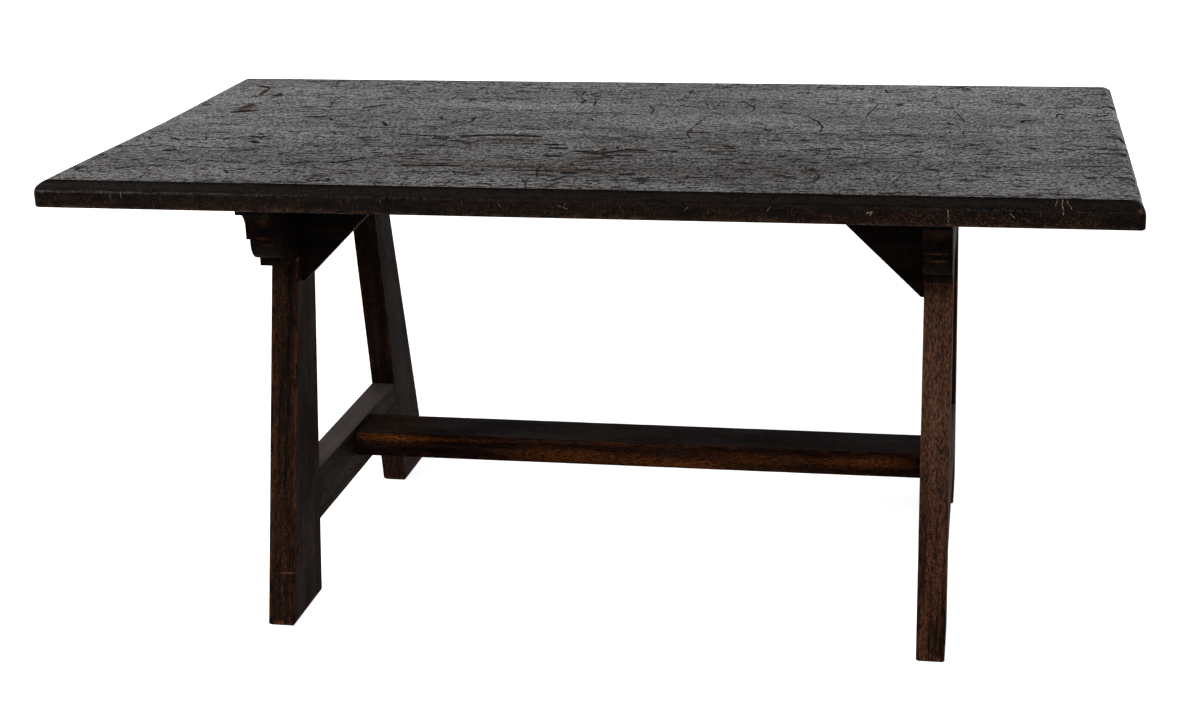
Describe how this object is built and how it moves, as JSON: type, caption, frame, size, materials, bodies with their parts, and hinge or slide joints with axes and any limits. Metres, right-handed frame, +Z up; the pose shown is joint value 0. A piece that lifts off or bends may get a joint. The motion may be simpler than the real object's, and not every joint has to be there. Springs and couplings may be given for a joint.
{
  "type": "trestle dining table",
  "caption": "Dark waxed trestle dining table with a thick moulded top, splayed plank legs, moulded bearers, corner brackets and a flat stretcher.",
  "frame": {"origin": "on the floor under the middle of the top", "axes": "+X along the long side of the top, +Y from the front long side to the rear one, +Z up"},
  "size_m": [1.67, 0.88, 0.76],
  "materials": {
    "top_wood": "dark stained, waxed and scratched",
    "frame_wood": "dark stained, rubbed brown on the edges",
    "peg_wood": "stained end grain",
    "screw_steel": "dull steel"
  },
  "bodies": {
    "root": {"top_board_front": "top_wood", "top_board_rear": "top_wood", "bearer_left": "frame_wood", "bearer_right": "frame_wood", "rail_left": "frame_wood", "rail_right": "frame_wood", "leg_left_front": "frame_wood", "leg_left_rear": "frame_wood", "leg_right_front": "frame_wood", "leg_right_rear": "frame_wood", "bracket_left_front": "frame_wood", "bracket_left_rear": "frame_wood", "bracket_right_front": "frame_wood", "bracket_right_rear": "frame_wood", "stretcher": "frame_wood", "bearer_pegs_left": "peg_wood", "rail_pegs_left": "peg_wood", "bracket_dowels_left": "peg_wood", "stretcher_wedges_left": "peg_wood", "bearer_pegs_right": "peg_wood", "rail_pegs_right": "peg_wood", "bracket_dowels_right": "peg_wood", "stretcher_wedges_right": "peg_wood", "bearer_screws_left": "screw_steel", "bracket_screws_left": "screw_steel", "bearer_screws_right": "screw_steel", "bracket_screws_right": "screw_steel"}
  },
  "joints": []
}
